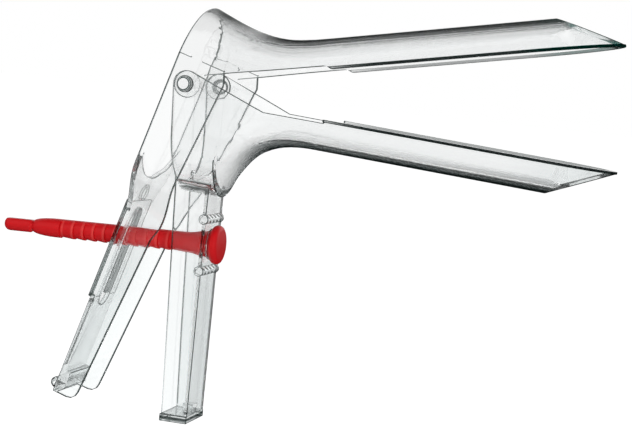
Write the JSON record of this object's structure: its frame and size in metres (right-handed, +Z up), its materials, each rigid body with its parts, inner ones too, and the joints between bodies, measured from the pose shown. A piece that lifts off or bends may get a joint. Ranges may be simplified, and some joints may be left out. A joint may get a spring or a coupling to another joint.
{
  "type": "bivalve speculum",
  "caption": "Clear moulded bivalve speculum: two hinged trough blades with a funnel collar, a channel handle, a leaning thumb lever and a red ratchet lock pin.",
  "frame": {"origin": "middle of the flat front face of the handle, where the hand holds it, in the middle plane", "axes": "+X out of the handle's front face, towards the blade tips; +Y across, along the hinge axis; +Z up, from the handle to the blades"},
  "size_m": [0.2, 0.0406, 0.1404],
  "materials": {
    "clear_plastic": "clear, polished",
    "red_plastic": "opaque, satin"
  },
  "bodies": {
    "lower_half": {"lower_valve": "clear_plastic"},
    "upper_half": {"upper_valve": "clear_plastic"},
    "pin": {"lock_pin": "red_plastic"}
  },
  "joints": [
    {"name": "blade_hinge", "type": "hinge", "parent": "lower_half", "child": "upper_half", "pos_m": [-0.0078, 0, 0.084], "axis": [0, -1, 0], "range_deg": [-15.9, 14]},
    {"name": "pin_slide", "type": "slide", "parent": "lower_half", "child": "pin", "axis": [0.9994, 0, 0.0349], "range_m": [0, 0.022]}
  ]
}
